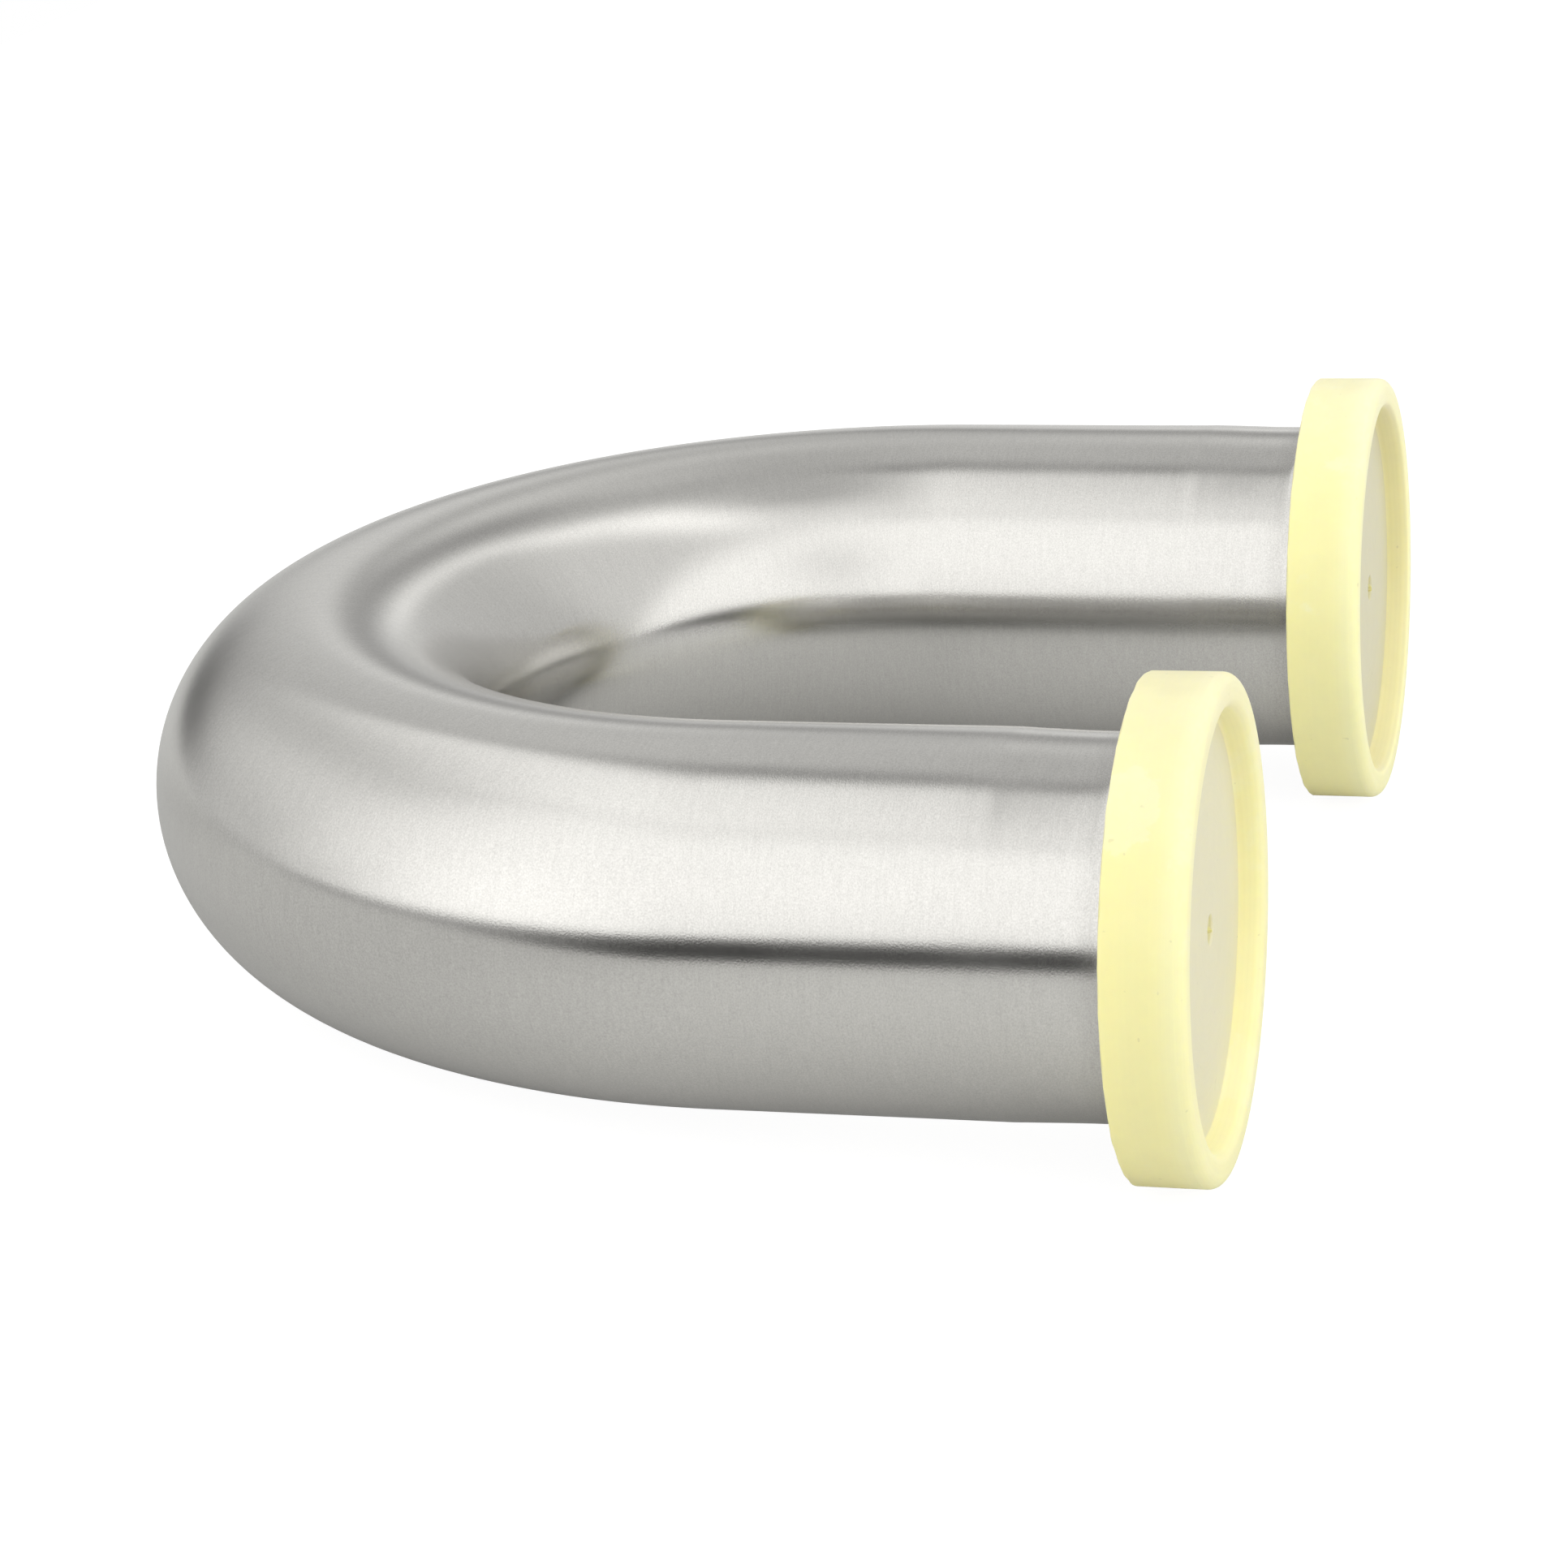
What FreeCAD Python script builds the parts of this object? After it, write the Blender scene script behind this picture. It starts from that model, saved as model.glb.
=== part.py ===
"""Return bend for hygienic pipework: a stainless tube bent through 180 degrees with a straight leg
left at each end, a clamp ferrule butt-welded to each leg, and a push-on plastic cap over each ferrule.

The bend lies flat in the XY plane, +Z up. The origin is the centre of the left ferrule's sealing
face, and +X points out of both mouths. The right ferrule's axis is two bend radii away along +Y.
All sizes are in millimetres.
"""

import FreeCAD, Part
import math
import os
import Sketcher
from FreeCAD import Vector

SIZES = (
    # Tube: 2 inch hygienic tube on the usual bend radius of one and a half diameters
    ("tube_od", "50.8", "outside diameter of the tube and of the ferrule necks"),
    ("tube_wall", "1.65", "wall of the tube and of the ferrule necks"),
    ("bend_radius", "76.2", "radius of the bend, to the middle of the tube"),
    ("leg_length", "40", "straight leg from the end of the bend to the weld"),
    # Ferrule: short weld ferrule with the 64 mm clamp flange
    ("ferrule_length", "21.5", "from the weld to the sealing face"),
    ("flange_od", "63.9", "outside diameter of the clamp flange"),
    ("flange_land", "2.85", "width of the flange's straight edge"),
    ("flange_bevel", "20", "slope of the flange's back, in degrees, which the clamp pulls on"),
    ("flange_round", "0.4", "rounding of the flange's two outer edges"),
    ("neck_fillet", "3", "fillet between the neck and the flange's back"),
    ("groove_width", "3", "width of the half-round gasket groove"),
    ("groove_offset", "0.3", "from the middle of the sealing face out to the middle of the groove"),
    # Cap: one moulding of even wall, its rim folded forward round a disc that closes the bore
    ("cap_clearance", "0.1", "gap between the flange and the skirt, all round"),
    ("cap_skirt_wall", "0.75", "wall of the skirt"),
    ("cap_skirt", "5.4", "length of the skirt behind the sealing face"),
    ("cap_disc", "2", "thickness of the disc"),
    ("cap_rim_height", "3.4", "how far the rim stands proud of the disc"),
    ("cap_rim_width", "4.3", "width of the rim at its front"),
    ("cap_rim_draft", "15", "slope of the rim's inner wall, in degrees"),
    ("cap_web", "1.2", "wall at the rim's front and inner side, where it is hollow from behind"),
    ("cap_edge_round", "1.6", "rounding of the cap's front outer edge"),
    ("cap_lip_round", "1.5", "rounding of the rim's inner edge"),
    ("cap_floor_fillet", "0.8", "fillet between the rim's inner wall and the disc"),
    ("cap_mouth_round", "0.2", "rounding of the skirt's outer edge at its mouth"),
    ("cap_mouth_chamfer", "0.3", "lead-in inside the skirt's mouth"),
    ("gate_dimple", "4", "diameter of the dimple round the moulding gate"),
    ("gate_dimple_depth", "0.35", "depth of that dimple"),
    ("gate_stub", "0.9", "diameter of the gate's broken stub"),
    ("gate_stub_height", "0.6", "height of the stub above the dimple's floor"),
)

SIDES = ("left", "right")
FULL_TURN = 360
HALF_TURN = 180
SAME_PLACE = 1e-4

# A sketch counts its own axes from -1 down, and the points of a line or an arc from 1 up
H_AXIS, V_AXIS = range(-1, -3, -1)
START, END, MIDDLE = range(1, 4)
ORIGIN = (H_AXIS, START)


def make_sheet(doc):
    """The driving dimensions, one row each: what it is, its value, and the value's alias."""
    sheet = doc.addObject("Spreadsheet::Sheet", "sizes")
    for row, (alias, value, meaning) in enumerate(SIZES, start=1):
        sheet.set(f"A{row}", meaning)
        sheet.set(f"B{row}", value)
        sheet.setAlias(f"B{row}", alias)
    doc.recompute()
    return sheet


def make_body(doc, label):
    body = doc.addObject("PartDesign::Body", label.title().replace("_", ""))
    body.Label = label
    return body


def origin_feature(body, role):
    """One of a body's own origin planes or axes, by its role."""
    return next(feature for feature in body.Origin.OriginFeatures if feature.Role == role)


def new_sketch(body, name, plane):
    sketch = body.newObject("Sketcher::SketchObject", f"{body.Name}{name}")
    sketch.AttachmentSupport = [(origin_feature(body, plane), "")]
    sketch.MapMode = "FlatFace"
    return sketch


def drive(sketch, name, formula, kind, *places):
    """Adds a dimension to a sketch, names it, and binds it to the sheet."""
    index = sketch.addConstraint(Sketcher.Constraint(kind, *places))
    sketch.renameConstraint(index, name)
    sketch.setExpression(f"Constraints.{name}", formula)


def add_outline(sketch, points):
    """A closed outline of straight lines through the points, joined at their ends."""
    ends = [Vector(x, y, 0) for x, y in points]
    following = ends[1:] + ends[:1]
    lines = [sketch.addGeometry(Part.LineSegment(*pair)) for pair in zip(ends, following)]
    for line, after in zip(lines, lines[1:] + lines[:1]):
        sketch.addConstraint(Sketcher.Constraint("Coincident", line, END, after, START))
    return lines


def constrain_lines(sketch, kind, *lines):
    for line in lines:
        sketch.addConstraint(Sketcher.Constraint(kind, line))


def turn(body, kind, name, sketch, axis, degrees=FULL_TURN):
    """Turns a sketch about one of the body's axes: a Revolution adds what it sweeps, a Groove cuts it."""
    feature = body.newObject(f"PartDesign::{kind}", f"{body.Name}{name}")
    feature.Profile = sketch
    feature.ReferenceAxis = (origin_feature(body, axis), [""])
    feature.Angle = degrees
    body.Document.recompute()


def soften(body, kind, name, ring, size):
    """A Fillet or Chamfer on the body's circular edge at ring = (distance along X, radius)."""
    base = body.Tip
    along, radius = ring
    edges = [
        f"Edge{number}"
        for number, edge in enumerate(base.Shape.Edges, start=1)
        if isinstance(edge.Curve, Part.Circle)
        and abs(edge.Curve.Center.x - along) < SAME_PLACE
        and abs(edge.Curve.Radius - radius) < SAME_PLACE
    ]
    feature = body.newObject(f"PartDesign::{kind}", f"{body.Name}{name}")
    feature.Base = (base, edges)
    feature.setExpression("Radius" if kind == "Fillet" else "Size", f"sizes.{size}")
    body.Document.recompute()


def add_tube_section(sketch, sheet, side, name):
    """The tube's two circles, one bend radius from the bend's centre on the given side of it."""
    centre = Vector(side * sheet.bend_radius, 0, 0)
    outside = sheet.tube_od / 2
    inside = outside - sheet.tube_wall
    outer = sketch.addGeometry(Part.Circle(centre, Vector(0, 0, 1), outside))
    inner = sketch.addGeometry(Part.Circle(centre, Vector(0, 0, 1), inside))
    sketch.addConstraint(Sketcher.Constraint("Coincident", inner, MIDDLE, outer, MIDDLE))
    sketch.addConstraint(Sketcher.Constraint("PointOnObject", outer, MIDDLE, H_AXIS))
    reach = (*ORIGIN, outer, MIDDLE) if side > 0 else (outer, MIDDLE, *ORIGIN)
    drive(sketch, f"{name}_reach", "sizes.bend_radius", "DistanceX", *reach, sheet.bend_radius)
    drive(sketch, f"{name}_outside", "sizes.tube_od / 2", "Radius", outer, outside)
    drive(sketch, f"{name}_inside", "sizes.tube_od / 2 - sizes.tube_wall", "Radius", inner, inside)


def make_bend_tube(doc, sheet):
    """The bent tube: its section turned half a turn about the bend's centre, then both legs."""
    body = make_body(doc, "bend_tube")

    bend_section = new_sketch(body, "BendSection", "YZ_Plane")
    add_tube_section(bend_section, sheet, 1, "bend")
    turn(body, "Revolution", "Bend", bend_section, "Z_Axis", HALF_TURN)

    leg_sections = new_sketch(body, "LegSections", "YZ_Plane")
    add_tube_section(leg_sections, sheet, -1, "left")
    add_tube_section(leg_sections, sheet, 1, "right")
    legs = body.newObject("PartDesign::Pad", "BendTubeLegs")
    legs.Profile = leg_sections
    legs.setExpression("Length", "sizes.leg_length")

    body.setExpression("Placement.Base.x", "-sizes.leg_length - sizes.ferrule_length")
    body.setExpression("Placement.Base.y", "sizes.bend_radius")
    return body


def set_at_mouth(body, side):
    """Moves a piece that is made round the left mouth to the mouth of its own side."""
    if side == "right":
        body.setExpression("Placement.Base.y", "2 * sizes.bend_radius")


def make_ferrule(doc, sheet, side):
    """A weld ferrule, turned about X, with its sealing face at X = 0 and its neck behind it."""
    body = make_body(doc, f"{side}_ferrule")
    neck = sheet.tube_od / 2
    bore = neck - sheet.tube_wall
    flange = sheet.flange_od / 2
    bevel_start = -sheet.flange_land
    bevel_end = bevel_start - (flange - neck) * math.tan(math.radians(sheet.flange_bevel))

    profile = new_sketch(body, "Profile", "XY_Plane")
    weld, outside, bevel, edge, face, inside = add_outline(profile, [
        (-sheet.ferrule_length, bore),
        (-sheet.ferrule_length, neck),
        (bevel_end, neck),
        (bevel_start, flange),
        (0, flange),
        (0, bore),
    ])
    constrain_lines(profile, "Horizontal", outside, edge, inside)
    constrain_lines(profile, "Vertical", weld, face)
    profile.addConstraint(Sketcher.Constraint("PointOnObject", face, START, V_AXIS))
    drive(profile, "length", "sizes.ferrule_length",
          "DistanceX", inside, END, inside, START, sheet.ferrule_length)
    drive(profile, "bore_radius", "sizes.tube_od / 2 - sizes.tube_wall",
          "DistanceY", *ORIGIN, inside, START, bore)
    drive(profile, "neck_radius", "sizes.tube_od / 2", "DistanceY", *ORIGIN, outside, START, neck)
    drive(profile, "flange_radius", "sizes.flange_od / 2", "DistanceY", *ORIGIN, edge, END, flange)
    drive(profile, "land", "sizes.flange_land",
          "DistanceX", edge, START, edge, END, sheet.flange_land)
    drive(profile, "slope", "90 deg - sizes.flange_bevel * 1 deg",
          "Angle", *ORIGIN, bevel, START, math.radians(90 - sheet.flange_bevel))
    turn(body, "Revolution", "Turned", profile, "X_Axis")

    groove = new_sketch(body, "GrooveProfile", "XY_Plane")
    middle = (bore + flange) / 2 + sheet.groove_offset
    radius = sheet.groove_width / 2
    circle = Part.Circle(Vector(0, middle, 0), Vector(0, 0, 1), radius)
    top, bottom = Vector(0, middle + radius, 0), Vector(0, middle - radius, 0)
    round_side = groove.addGeometry(Part.ArcOfCircle(circle, math.pi / 2, 3 * math.pi / 2))
    mouth = groove.addGeometry(Part.LineSegment(bottom, top))
    groove.addConstraint(Sketcher.Constraint("Coincident", round_side, START, mouth, END))
    groove.addConstraint(Sketcher.Constraint("Coincident", round_side, END, mouth, START))
    for place in (START, END, MIDDLE):
        groove.addConstraint(Sketcher.Constraint("PointOnObject", round_side, place, V_AXIS))
    drive(groove, "middle",
          "(sizes.tube_od / 2 - sizes.tube_wall + sizes.flange_od / 2) / 2 + sizes.groove_offset",
          "DistanceY", *ORIGIN, round_side, MIDDLE, middle)
    drive(groove, "radius", "sizes.groove_width / 2", "Radius", round_side, radius)
    turn(body, "Groove", "GasketGroove", groove, "X_Axis")

    soften(body, "Fillet", "FrontRound", (0, flange), "flange_round")
    soften(body, "Fillet", "BackRound", (bevel_start, flange), "flange_round")
    soften(body, "Fillet", "NeckFillet", (bevel_end, neck), "neck_fillet")
    set_at_mouth(body, side)
    return body


def make_cap(doc, sheet, side):
    """A cap, turned about X, with the back of its disc against the sealing face at X = 0."""
    body = make_body(doc, f"{side}_cap")
    skirt = sheet.flange_od / 2 + sheet.cap_clearance
    outside = skirt + sheet.cap_skirt_wall
    front = sheet.cap_disc + sheet.cap_rim_height
    hollow_end = front - sheet.cap_web
    lip = outside - sheet.cap_rim_width
    floor = lip - sheet.cap_rim_height * math.tan(math.radians(sheet.cap_rim_draft))

    profile = new_sketch(body, "Profile", "XY_Plane")
    lines = add_outline(profile, [
        (0, 0),
        (0, lip + sheet.cap_web),
        (hollow_end, lip + sheet.cap_web),
        (hollow_end, skirt),
        (-sheet.cap_skirt, skirt),
        (-sheet.cap_skirt, outside),
        (front, outside),
        (front, lip),
        (sheet.cap_disc, floor),
        (sheet.cap_disc, 0),
    ])
    back, hollow_side, hollow_top, inner_skirt, mouth, outer_skirt, rim, draft, disc, axis = lines
    constrain_lines(profile, "Horizontal", hollow_side, inner_skirt, outer_skirt, axis)
    constrain_lines(profile, "Vertical", back, hollow_top, mouth, rim, disc)
    profile.addConstraint(Sketcher.Constraint("Coincident", back, START, *ORIGIN))
    drive(profile, "inner_radius", "sizes.flange_od / 2 + sizes.cap_clearance",
          "DistanceY", *ORIGIN, inner_skirt, START, skirt)
    drive(profile, "skirt_wall", "sizes.cap_skirt_wall",
          "DistanceY", mouth, START, mouth, END, sheet.cap_skirt_wall)
    drive(profile, "skirt_length", "sizes.cap_skirt",
          "DistanceX", inner_skirt, END, *ORIGIN, sheet.cap_skirt)
    drive(profile, "disc_thickness", "sizes.cap_disc",
          "DistanceX", *ORIGIN, disc, START, sheet.cap_disc)
    drive(profile, "rim_height", "sizes.cap_rim_height",
          "DistanceX", disc, START, rim, START, sheet.cap_rim_height)
    drive(profile, "rim_width", "sizes.cap_rim_width",
          "DistanceY", rim, END, rim, START, sheet.cap_rim_width)
    drive(profile, "draft_slope", "180 deg + sizes.cap_rim_draft * 1 deg",
          "Angle", *ORIGIN, draft, START, math.pi + math.radians(sheet.cap_rim_draft))
    drive(profile, "front_web", "sizes.cap_web",
          "DistanceX", hollow_top, START, rim, END, sheet.cap_web)
    drive(profile, "side_web", "sizes.cap_web",
          "DistanceY", rim, END, hollow_side, START, sheet.cap_web)
    turn(body, "Revolution", "Turned", profile, "X_Axis")

    add_gate_mark(body, sheet)
    soften(body, "Fillet", "EdgeRound", (front, outside), "cap_edge_round")
    soften(body, "Fillet", "LipRound", (front, lip), "cap_lip_round")
    soften(body, "Fillet", "FloorFillet", (sheet.cap_disc, floor), "cap_floor_fillet")
    soften(body, "Fillet", "MouthRound", (-sheet.cap_skirt, outside), "cap_mouth_round")
    soften(body, "Chamfer", "MouthChamfer", (-sheet.cap_skirt, skirt), "cap_mouth_chamfer")
    set_at_mouth(body, side)
    return body


def add_gate_mark(body, sheet):
    """What the mould's gate leaves in the middle of the disc: a dimple with a broken stub in it."""
    dimple_sketch = new_sketch(body, "DimpleCircle", "YZ_Plane")
    dimple_sketch.setExpression("AttachmentOffset.Base.z", "sizes.cap_disc")
    add_centred_circle(dimple_sketch, "sizes.gate_dimple / 2", sheet.gate_dimple / 2)
    dimple = body.newObject("PartDesign::Pocket", f"{body.Name}Dimple")
    dimple.Profile = dimple_sketch
    dimple.setExpression("Length", "sizes.gate_dimple_depth")
    body.Document.recompute()

    stub_sketch = new_sketch(body, "StubCircle", "YZ_Plane")
    stub_sketch.setExpression("AttachmentOffset.Base.z", "sizes.cap_disc - sizes.gate_dimple_depth")
    add_centred_circle(stub_sketch, "sizes.gate_stub / 2", sheet.gate_stub / 2)
    stub = body.newObject("PartDesign::Pad", f"{body.Name}Stub")
    stub.Profile = stub_sketch
    stub.setExpression("Length", "sizes.gate_stub_height")
    body.Document.recompute()


def add_centred_circle(sketch, formula, radius):
    circle = sketch.addGeometry(Part.Circle(Vector(0, 0, 0), Vector(0, 0, 1), radius))
    sketch.addConstraint(Sketcher.Constraint("Coincident", circle, MIDDLE, *ORIGIN))
    drive(sketch, "radius", formula, "Radius", circle, radius)


def check(doc, bodies):
    """Stops the script if an object of the document failed, or a piece isn't one sound solid."""
    for item in doc.Objects:
        if "Invalid" in item.State or "Error" in item.State:
            raise RuntimeError(f"{item.Name} failed: {item.State}")
    for body in bodies:
        if body.Shape.isNull() or not body.Shape.isValid() or len(body.Shape.Solids) != 1:
            raise RuntimeError(f"{body.Label} isn't one sound solid")


def main():
    doc = FreeCAD.newDocument("return_bend")
    sheet = make_sheet(doc)
    bodies = [make_bend_tube(doc, sheet)]
    bodies += [make_ferrule(doc, sheet, side) for side in SIDES]
    bodies += [make_cap(doc, sheet, side) for side in SIDES]
    doc.recompute()
    check(doc, bodies)

    os.makedirs("parts", exist_ok=True)
    for body in bodies:
        body.Shape.exportStep(f"parts/{body.Label}.step")
        box = body.Shape.BoundBox
        print(f"{body.Label}: {body.Shape.Volume:.0f} mm3, X {box.XMin:.1f} to {box.XMax:.1f}, "
              f"Y {box.YMin:.1f} to {box.YMax:.1f}, Z {box.ZMin:.1f} to {box.ZMax:.1f}")


main()
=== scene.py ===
"""Looks of the return bend: brushed stainless tube and ferrules, pale yellow moulded caps.

The surfaces are worked out with numpy on grids, in metres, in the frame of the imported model: +X out of
both mouths, +Y from the left leg to the right leg, +Z up.
"""

import math

import bpy
import numpy as np
from mathutils import Matrix, Vector


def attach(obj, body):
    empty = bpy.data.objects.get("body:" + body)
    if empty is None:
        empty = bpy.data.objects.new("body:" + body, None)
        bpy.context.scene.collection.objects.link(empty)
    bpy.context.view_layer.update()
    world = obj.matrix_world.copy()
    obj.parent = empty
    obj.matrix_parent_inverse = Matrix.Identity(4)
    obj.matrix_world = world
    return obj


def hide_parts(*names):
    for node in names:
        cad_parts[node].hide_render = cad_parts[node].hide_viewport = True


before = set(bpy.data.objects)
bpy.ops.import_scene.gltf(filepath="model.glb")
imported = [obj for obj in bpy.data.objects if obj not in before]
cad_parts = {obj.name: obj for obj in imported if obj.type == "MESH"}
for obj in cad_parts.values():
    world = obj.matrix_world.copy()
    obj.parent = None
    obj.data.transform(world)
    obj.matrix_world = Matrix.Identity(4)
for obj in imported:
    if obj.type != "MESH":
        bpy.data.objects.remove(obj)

bl_info = {
    "name": "Return Bend Looks",
    "version": (1, 0, 0),
    "blender": (4, 5, 0),
    "location": "View3D > Sidebar > Return Bend",
    "description": "Builds the surfaces, finishes and studio of a capped stainless return bend",
    "category": "Object",
}

MM = 0.001
SIDES = ("left", "right")
# Middle of a painted highlight: a pale patch high on the front of the left cap's skirt.
CLOUDY_PATCH = (-3 * MM, -23 * MM, 23.4 * MM)
FLOW = "steel_flow"
UV_MAP = "along_and_round"
UV_UNIT = 100 * MM
SHARP_ANGLE = math.radians(32)
STEEL_COLUMNS = 128
CAP_COLUMNS = 160
BY_WELD = 5 * MM
TINY = 1e-7


def length_of(name, description, default):
    return bpy.props.FloatProperty(name=name, description=description, default=default, unit="LENGTH")


def angle_of(name, description, degrees):
    return bpy.props.FloatProperty(
        name=name, description=description, default=math.radians(degrees), unit="ROTATION")


def colour_of(name, description, default):
    return bpy.props.FloatVectorProperty(
        name=name, description=description, default=default, subtype="COLOR", size=3, min=0, max=1)


def share_of(name, description, default):
    return bpy.props.FloatProperty(
        name=name, description=description, default=default, min=0, max=1, subtype="FACTOR")


class TubeSizes(bpy.types.PropertyGroup):
    outside: length_of("Outside diameter", "Outside diameter of the tube", 50.8 * MM)
    wall: length_of("Wall", "Thickness of the tube's wall", 1.65 * MM)
    bend_radius: length_of("Bend radius", "Radius of the bend, to the middle of the tube", 76.2 * MM)
    leg: length_of("Leg", "Straight leg from the end of the bend to the weld", 40 * MM)
    weld_crown: length_of("Weld crown", "How far the polished weld stands proud of the tube", 0.03 * MM)
    ground: length_of(
        "Ground away", "How much thinner the belt has ground the ferrules' necks", 0.36 * MM)
    left_step: length_of(
        "Left step", "How far above the tube's axis the left neck was welded", -0.05 * MM)
    right_step: length_of(
        "Right step", "How far above the tube's axis the right neck was welded", 0.12 * MM)
    ripple: length_of(
        "Ripple", "Depth of the faint hollows that bending and polishing leave", 0.03 * MM)


class FerruleSizes(bpy.types.PropertyGroup):
    length: length_of("Length", "From the weld to the sealing face", 21.5 * MM)
    flange: length_of("Flange diameter", "Outside diameter of the clamp flange", 63.9 * MM)
    land: length_of("Land", "Width of the flange's straight edge", 2.85 * MM)
    bevel: angle_of("Bevel", "Slope of the flange's back", 20)
    edge_round: length_of("Edge round", "Rounding of the flange's outer edges", 0.4 * MM)
    neck_fillet: length_of("Neck fillet", "Fillet between the neck and the flange's back", 3 * MM)
    groove: length_of("Gasket groove", "Width of the half-round groove in the sealing face", 3 * MM)
    groove_offset: length_of(
        "Groove offset", "From the middle of the face out to the middle of the groove", 0.3 * MM)


class CapSizes(bpy.types.PropertyGroup):
    clearance: length_of("Clearance", "Gap between the flange and the skirt", 0.1 * MM)
    skirt_wall: length_of("Skirt wall", "Wall of the skirt", 0.75 * MM)
    skirt: length_of("Skirt length", "Length of the skirt behind the sealing face", 5.4 * MM)
    disc: length_of("Disc", "Thickness of the disc", 2 * MM)
    bulge: length_of("Bulge", "How far the middle of the disc bulges forward", 0.9 * MM)
    rim_height: length_of("Rim height", "How far the rim stands proud of the disc", 3.4 * MM)
    rim_width: length_of("Rim width", "Width of the rim at its front", 4.3 * MM)
    rim_draft: angle_of("Rim draft", "Slope of the rim's inner wall", 15)
    web: length_of("Web", "Wall of the rim, which is hollow from behind", 1.2 * MM)
    edge_round: length_of("Edge round", "Rounding of the front outer edge", 1.6 * MM)
    lip_round: length_of("Lip round", "Rounding of the rim's inner edge", 1.5 * MM)
    floor_fillet: length_of(
        "Floor fillet", "Fillet between the rim's inner wall and the disc", 0.8 * MM)
    mouth_round: length_of("Mouth round", "Rounding of the skirt's mouth", 0.2 * MM)
    flash: length_of("Flash", "Unevenness of the skirt's mouth, where its flash tore off", 0.09 * MM)
    gate: length_of("Gate dimple", "Diameter of the dimple round the moulding gate", 4 * MM)
    gate_depth: length_of("Dimple depth", "Depth of that dimple", 0.35 * MM)
    stub: length_of("Gate stub", "Diameter of the gate's broken stub", 0.9 * MM)
    stub_height: length_of("Stub height", "Height of the stub above the dimple's floor", 0.6 * MM)


class Finishes(bpy.types.PropertyGroup):
    steel: colour_of("Steel", "Colour of the brushed stainless steel", (0.60, 0.593, 0.573))
    plastic: colour_of("Plastic", "Colour of the moulded polyethylene", (0.92, 0.845, 0.415))
    # The disc's colour, with the dark bore's shade painted in: greyer and darker than the plastic.
    thin_plastic: colour_of(
        "Thin plastic", "Colour of the disc, thin over the dark bore", (0.70, 0.665, 0.475))
    steel_roughness: share_of("Steel roughness", "Roughness of the brushed steel", 0.19)
    plastic_roughness: share_of("Plastic roughness", "Roughness of the plastic", 0.42)
    line_spacing: length_of(
        "Brush lines", "Spacing of the fine lines that the belt leaves round the tube", 0.28 * MM)


class Studio(bpy.types.PropertyGroup):
    azimuth: angle_of("Azimuth", "Where the camera stands round the object", 15.643)
    elevation: angle_of("Elevation", "Height of the camera over the plane of the bend", 18.569)
    roll: angle_of(
        "Roll", "Turn of the camera about its line of sight, since the bend rests aslant", -3.710)
    distance: length_of("Distance", "From the camera to the point that it looks at", 667.878 * MM)
    aim: bpy.props.FloatVectorProperty(
        name="Aim", description="The point that the camera looks at",
        default=(-71.727 * MM, 71.040 * MM, -6.581 * MM), subtype="TRANSLATION", size=3)
    lens: bpy.props.FloatProperty(
        name="Lens", description="Focal length on a sensor 36 mm wide", default=105.403, unit="CAMERA")
    floor_size: length_of("Floor size", "Width and depth of the pale floor", 1.4)
    floor_near: length_of("Floor front", "Where the floor's front edge lies", -0.27)
    floor_left: length_of("Floor left", "Where the floor's left edge lies", -0.48)
    softbox: bpy.props.FloatProperty(
        name="Softbox", description="Brightness of the large softbox in front and above",
        default=1.50, min=0)
    backdrop: bpy.props.FloatProperty(
        name="Backdrop", description="Brightness of the backdrop behind the object",
        default=0.74, min=0)


SETTINGS = {
    "tube_sizes": TubeSizes,
    "ferrule_sizes": FerruleSizes,
    "cap_sizes": CapSizes,
    "finishes": Finishes,
    "studio": Studio,
}


def smooth_step(value, low, high):
    """0 below low and 1 above high, with no corner at either end."""
    share = np.clip((value - low) / (high - low), 0, 1)
    return share * share * (3 - 2 * share)


def bell(value, middle, width):
    """A smooth hump of height 1 that is down to a third at one width from its middle."""
    return np.exp(-(((value - middle) / width) ** 2))


def path_lengths(tube, ferrule):
    """Length of one straight end, from the mouth to the bend, and of the whole centre line."""
    straight = tube.leg + ferrule.length
    return straight, 2 * straight + math.pi * tube.bend_radius


def mouth_offset(tube, side):
    """Y of a mouth's axis."""
    return 0.0 if side == "left" else 2 * tube.bend_radius


def cap_radii(ferrule, cap):
    """Radii inside and outside the skirt, at the rim's inner edge, and where its wall meets the disc."""
    skirt = ferrule.flange / 2 + cap.clearance
    outside = skirt + cap.skirt_wall
    lip = outside - cap.rim_width
    return skirt, outside, lip, lip - cap.rim_height * math.tan(cap.rim_draft)


def grid_round(lengths, columns):
    """Lengths and angles of a grid: one row for each length, and columns in equal steps round the piece."""
    return np.meshgrid(lengths, np.arange(columns) / columns * 2 * math.pi, indexing="ij")


def bent_points(tube, ferrule, along, radius, turn):
    """Points of the bent tube.

    A point is the centre line's point at the length along it, plus the radius in the direction turn
    round the tube, counted from the outside of the bend upwards. The centre line runs straight in from
    the left mouth, half a turn round the bend's centre, and straight out to the right mouth.
    """
    straight, whole = path_lengths(tube, ferrule)
    angle = np.clip((along - straight) / tube.bend_radius, 0, math.pi)
    beyond = np.maximum(straight - along, 0) + np.maximum(along - (whole - straight), 0)
    outward = np.stack([-np.sin(angle), -np.cos(angle), np.zeros_like(angle)], -1)
    centre = outward * tube.bend_radius
    centre[..., 0] += beyond - straight
    centre[..., 1] += tube.bend_radius
    upward = np.array([0.0, 0.0, 1.0])
    return centre + radius[..., None] * (
        np.cos(turn)[..., None] * outward + np.sin(turn)[..., None] * upward)


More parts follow.
